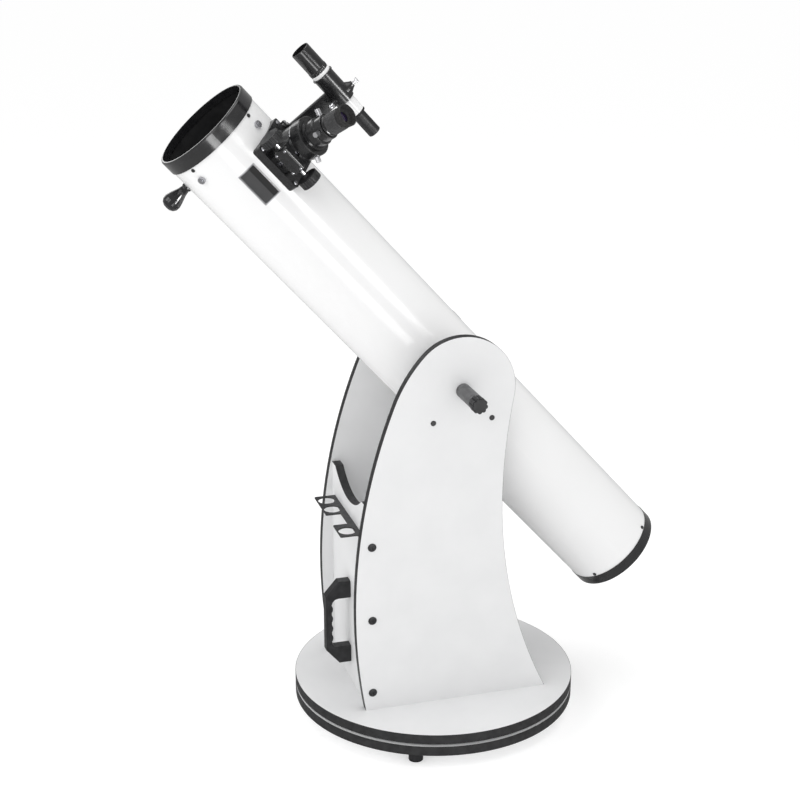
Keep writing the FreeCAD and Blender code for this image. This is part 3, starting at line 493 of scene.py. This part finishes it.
# power in watts; size, place and target in metres
SOFTBOXES = {
    "key": (16, (2.0, 2.0), (2.4, -2.2, 3.0), MIDDLE),
    "top": (20, (2.2, 2.2), (0.3, 0.2, 3.9), MIDDLE),
    "front": (16, (1.8, 1.8), (0.5, -3.4, 2.4), (0, -0.2, 0.4)),
    "rim": (6, (1.0, 1.2), (-2.7, -1.2, 1.9), (0, -0.4, 1.1)),
}

# power in watts, size in metres, what it is mirrored in, angle of its image, distance in metres
STRIPS = {
    "finder_strip": (11, (0.6, 0.30), FINDER.translation, 77, 1.5),
    "tube_strip": (17, (2.2, 0.5), PIVOT, 94, 1.6),
}

# each pair is as seen directly, then as seen in a reflection
WORLD_STRENGTH = (0.84, 0.35)
FLOOR_GREY = (0.75, 0.25)
FLOOR_GLOW = (0.36, 0.12)
FLOOR_SIZE = 400.0          # metres, so that its edge is never seen

LENS = 73.32                # mm
SENSOR = 36.0               # mm across
CAMERA_PLACE = (2.7265, -0.8807, 1.5756)


def area_light(name, power, size):
    """A rectangular light that the camera doesn't see."""
    light = bpy.data.lights.new(name, "AREA")
    light.energy = power
    light.shape = "RECTANGLE"
    light.size, light.size_y = size
    lamp = bpy.data.objects.new(name, light)
    bpy.context.scene.collection.objects.link(lamp)
    lamp.visible_camera = False
    return lamp


def softbox(name, power, size, location, target):
    """An area light turned to its target."""
    lamp = area_light(name, power, size)
    lamp.location = location
    lamp.rotation_euler = facing(Vector(target) - Vector(location))


def reflected_strip(name, power, size, at, angle, distance):
    """A light that only reflections show.

    Its image runs straight along a tube-like shape, at the angle about the shape's axis."""
    lean = VIEW.dot(ALONG)
    towards = outward_at(2 * angle - VIEW_ANGLE) * math.sqrt(1 - lean * lean) - ALONG * lean
    lamp = area_light(name, power, size)
    lamp.visible_diffuse = False
    length = (ALONG + towards * lean).normalized()
    lamp.matrix_world = axes(at + towards * distance, length, towards)


def world_light():
    """White surroundings that lend the glossy blacks only a dim reflection, as black flags do."""
    world = bpy.data.worlds.new("studio")
    bpy.context.scene.world = world
    world.use_nodes = True
    tree = world.node_tree
    soft = tree.nodes["Background"]
    dim = tree.nodes.new("ShaderNodeBackground")
    for background, strength in zip((soft, dim), WORLD_STRENGTH):
        background.inputs["Strength"].default_value = strength
        background.inputs["Color"].default_value = (1, 1, 1, 1)
    mix = tree.nodes.new("ShaderNodeMixShader")
    path = tree.nodes.new("ShaderNodeLightPath")
    tree.links.new(path.outputs["Is Glossy Ray"], mix.inputs["Fac"])
    tree.links.new(soft.outputs["Background"], mix.inputs[1])
    tree.links.new(dim.outputs["Background"], mix.inputs[2])
    tree.links.new(mix.outputs["Shader"], tree.nodes["World Output"].inputs["Surface"])


def floor():
    """White sweep that glows a little, and less so in reflections."""
    mesh = bpy.data.meshes.new("floor")
    work = bmesh.new()
    bmesh.ops.create_grid(work, x_segments=1, y_segments=1, size=FLOOR_SIZE)
    work.to_mesh(mesh)
    work.free()
    ground = bpy.data.objects.new("floor", mesh)
    bpy.context.scene.collection.objects.link(ground)
    direct, mirrored = ((level, level, level) for level in FLOOR_GREY)
    look = Shader("floor", direct, roughness=0.8, Specular_IOR_Level=0.0)
    look.vary_colour(look.glossy_ray(), mirrored, start=0.0, end=1.0)
    look.set("Emission Color", (1, 1, 1, 1))
    look.link(look.remap(look.glossy_ray(), *FLOOR_GLOW, start=0.0, end=1.0),
              look.surface.inputs["Emission Strength"])
    mesh.materials.append(look.material)


def studio():
    """Every light, the floor and the colour setting."""
    world_light()
    for name, settings in SOFTBOXES.items():
        softbox(name, *settings)
    for name, settings in STRIPS.items():
        reflected_strip(name, *settings)
    floor()
    view = bpy.context.scene.view_settings
    view.view_transform = "Standard"
    view.look = "None"


def camera():
    """Camera in front of the tube's right side, looking back along VIEW."""
    data = bpy.data.cameras.new("camera")
    data.sensor_width = SENSOR
    data.lens = LENS
    eye = bpy.data.objects.new("camera", data)
    bpy.context.scene.collection.objects.link(eye)
    eye.location = CAMERA_PLACE
    eye.rotation_euler = facing(-VIEW)
    bpy.context.scene.camera = eye


# ------------------------------------------------------------------ tube details
def bent_plate(name, stations, angles, radii, columns=14):
    """A plate that follows the tube, between two stations, angles in degrees and radii in mm."""
    (start, end), (first, last), (inner, outer) = stations, angles, radii
    work = bmesh.new()
    grid = []
    for i in range(columns + 1):
        turn = math.radians(first + (last - first) * i / columns)
        side = Vector((math.sin(turn), math.cos(turn), 0))
        grid.append([work.verts.new(TUBE @ ((side * r + Vector((0, 0, s))) * MM))
                     for r, s in ((inner, start), (outer, start), (outer, end), (inner, end))])
    for here, there in zip(grid, grid[1:]):
        for j in range(4):
            work.faces.new((here[j], there[j], there[(j + 1) % 4], here[(j + 1) % 4]))
    work.faces.new(grid[0])
    work.faces.new(grid[-1])
    return finish_mesh(name, work)


def label_plate():
    """Blank grey plate with a black band along one side and a thin bright line round it."""
    thickness, band_rise, line_rise = 0.4, 0.05, 0.11
    face = TUBE_RADIUS + thickness
    plate_mesh = bent_plate("label_plate", (480.0, 547.0), (80.6, 102.4), (TUBE_RADIUS, face))
    piece("label_plate", plate_mesh, "plate_grey", "telescope", smooth=20)

    band_face = face + band_rise
    band_radii = (face - band_rise, band_face)
    band_mesh = bent_plate("label_band", (481.0, 546.0), (81.2, 89.0), band_radii)
    piece("label_band", band_mesh, "plate_black", "telescope", smooth=20)

    start, end, width = 480.8, 546.2, 0.7
    first, last, swing = 81.3, 101.7, 0.45
    lines = (((start, start + width), (first, last)),
             ((end - width, end), (first, last)),
             ((start, end), (first, first + swing)),
             ((start, end), (last - swing, last)))
    for i, (stations, angles) in enumerate(lines):
        mesh = bent_plate("label_rim", stations, angles, (band_face, band_face + line_rise))
        piece("label_rim_%d" % (i + 1), mesh, "bare_aluminium", "telescope", smooth=20)


def collimation_springs():
    """Three compression springs between the rear casting and the mirror cell."""
    length, turns, steps = 6.3, 3.5, 120
    coil_radius, wire_radius = 6.2, 0.7
    end_gap = 0.8                      # from the wire's centre to what the spring stands on
    circle_radius = 60.0               # of the springs' places about the tube's axis
    work = bmesh.new()
    for third in range(3):
        angle = math.radians(90 + 120 * third)
        centre = Vector((math.cos(angle), math.sin(angle), 0)) * circle_radius
        points = []
        for i in range(steps + 1):
            part = i / steps
            swing = 2 * math.pi * turns * part
            rise = CASTING_FACE + end_gap + (length - 2 * end_gap) * part
            arm = Vector((coil_radius * math.cos(swing), coil_radius * math.sin(swing), rise))
            points.append(TUBE @ ((centre + arm) * MM))
        mesh = swept("spring", points, wire_radius)
        work.from_mesh(mesh)
        bpy.data.meshes.remove(mesh)
    made = piece("coil_springs", finish_mesh("coil_springs", work), "zinc_steel", "telescope",
                 smooth=60)
    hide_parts("collimation_springs")


def mirror_centre_mark():
    """Ring at the middle of the mirror's hollow face, which guides collimation."""
    rim = MIRROR_BACK + MIRROR_THICKNESS
    bottom, top = rim - 1.3, rim - 1.15
    inner, outer = 3.2, 5.4
    ring = [(inner, bottom), (inner, top), (outer, top), (outer, bottom)]
    piece("mirror_centre_mark", lathe("mark", ring, TUBE, 48), "gloss_black", "mirror")


# ------------------------------------------------------------------ focuser details
def eyepiece_details():
    """Ribbed grip round the eyepiece's body, and its eye lens; heights from the tube's axis."""
    base, groove, crest = 17.5, 17.6, 18.4
    start, end, pitch = 203.0, 225.0, 2.6
    rib_count, rib_rise = 30, 0.45

    def ribs(angle, radius):
        rise = rib_rise * max(0.0, math.cos(angle * rib_count))
        return radius + (rise if radius == crest else 0.0)

    height = start
    grip = [(base, height)]
    while height < end:
        grip += [(crest, height + 0.4), (crest, height + 1.9), (groove, height + 2.3)]
        height += pitch
    grip += [(base, height)]
    piece("eyepiece_grip", lathe("grip", grip, FOCUSER, 180, ribs), "ribbed_grip", "eyepiece")

    lens_radius = 8.95
    lens = [(0.0, 229.4), (lens_radius, 228.7), (lens_radius, 230.2), (6.0, 230.8), (3.0, 231.1),
            (0.0, 231.2)]
    piece("eye_lens", lathe("eye_lens", lens, FOCUSER, 64), "coated_glass", "eyepiece")


def knob_caps():
    """Turned end faces on the focus knobs."""
    pinion = axes(Vector(JOINTS["pinion_turn"]["pos_m"]), FOCUS_OUT, ALONG)
    radius, back, face, edge = 12.5, 53.2, 53.9, 54.0
    ends = [(0.0, face), (radius - 1.0, face), (radius, edge), (radius, back), (0.0, back)]
    for i, sign in enumerate((1, -1)):
        profile = [(r, sign * h) for r, h in ends]
        piece("knob_cap_%d" % (i + 1), lathe("knob_cap", profile, pinion, 64), "black_anodised",
              "pinion")


# ------------------------------------------------------------------ bolts
# outline of a screw head, as shares of its radius and of its height
DOME = ((1.0, 0.0), (1.0, 0.3), (0.93, 0.68), (0.76, 0.95), (0.66, 1.0))
BOLT_SPACING = 0.03  # metres; heights further apart than this belong to two bolts


def socket_head(work, place, radius, height, across, depth, steps=48):
    """A domed screw head with a hexagon recess, standing on place's XY plane; sizes in mm."""
    def ring(reach, level):
        return [work.verts.new(turned(place, angle, reach(angle), level))
                for angle in (2 * math.pi * i / steps for i in range(steps))]

    def hexagonal(angle):
        return across / 2 / math.cos((angle % (math.pi / 3)) - math.pi / 6)

    rows = [ring(lambda angle: part * radius, rise * height) for part, rise in DOME]
    rows += [ring(hexagonal, height), ring(hexagonal, height - depth)]
    for low, high in zip(rows, rows[1:]):
        for i in range(steps):
            j = (i + 1) % steps
            work.faces.new((low[i], low[j], high[j], high[i]))
    work.faces.new(rows[-1])
    work.faces.new(list(reversed(rows[0])))


def bolt_heights():
    """Heights of the three bolts' axes, read from the node's own mesh."""
    levels = sorted({round(vertex.co.z, 3) for vertex in NODES["panel_bolts"].data.vertices})
    groups = [[levels[0]]]
    for level in levels[1:]:
        if level - groups[-1][-1] > BOLT_SPACING:
            groups.append([])
        groups[-1].append(level)
    return [(group[0] + group[-1]) / 2 for group in groups]


def panel_bolts():
    """Black socket bolts that hold the side panels to the front board."""
    work = bmesh.new()
    low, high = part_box("panel_bolts")
    middle_y = (low[1] + high[1]) / 2
    for side in (1, -1):
        for height in bolt_heights():
            place = along_axis(Vector((side * PANEL_FACE, middle_y, height)), SIDE * side)
            socket_head(work, place, radius=8.0, height=2.0, across=6.0, depth=1.6)
    made = piece("socket_bolts", finish_mesh("socket_bolts", work), "black_steel", "rocker",
                 smooth=30)
    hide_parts("panel_bolts")


# ------------------------------------------------------------------ finder details
def finder_details():
    """Knurled focus ring, a retaining ring in front of the objective, and the eye lens.

    Heights are along the finder's axis from its bracket's stalk, positive to its objective."""
    root, crest = 16.9, 17.5
    knurl_count, half_depth = 40, 0.25

    def knurl(angle, radius):
        depth = half_depth * (1 + math.cos(angle * knurl_count))
        return radius - (depth if radius == crest else 0.0)

    band = [(root, 50.0), (crest, 50.4), (crest, 56.0), (root, 56.4)]
    piece("finder_focus_ring", lathe("focus_ring", band, FINDER_AXIS, 160, knurl),
          "black_anodised", "finder_focus")

    inner, outer, seat = 14.3, 15.55, 74.8
    holder = [(outer, seat), (outer, seat + 2.2), (inner, seat + 1.6), (inner, seat)]
    piece("lens_retainer", lathe("lens_retainer", holder, FINDER_AXIS, 96), "matt_black_steel",
          "finder_focus")

    radius, back = 4.9, -90.5
    lens = [(0.0, -92.4), (4.7, -91.9), (radius, -91.2), (radius, back), (0.0, back)]
    piece("finder_eye_lens", lathe("finder_eye_lens", lens, FINDER_AXIS, 48), "coated_glass",
          "finder")


paint_cad_nodes()
second_finishes()
label_plate()
panel_bolts()
finder_details()
collimation_springs()
mirror_centre_mark()
eyepiece_details()
knob_caps()
studio()
camera()
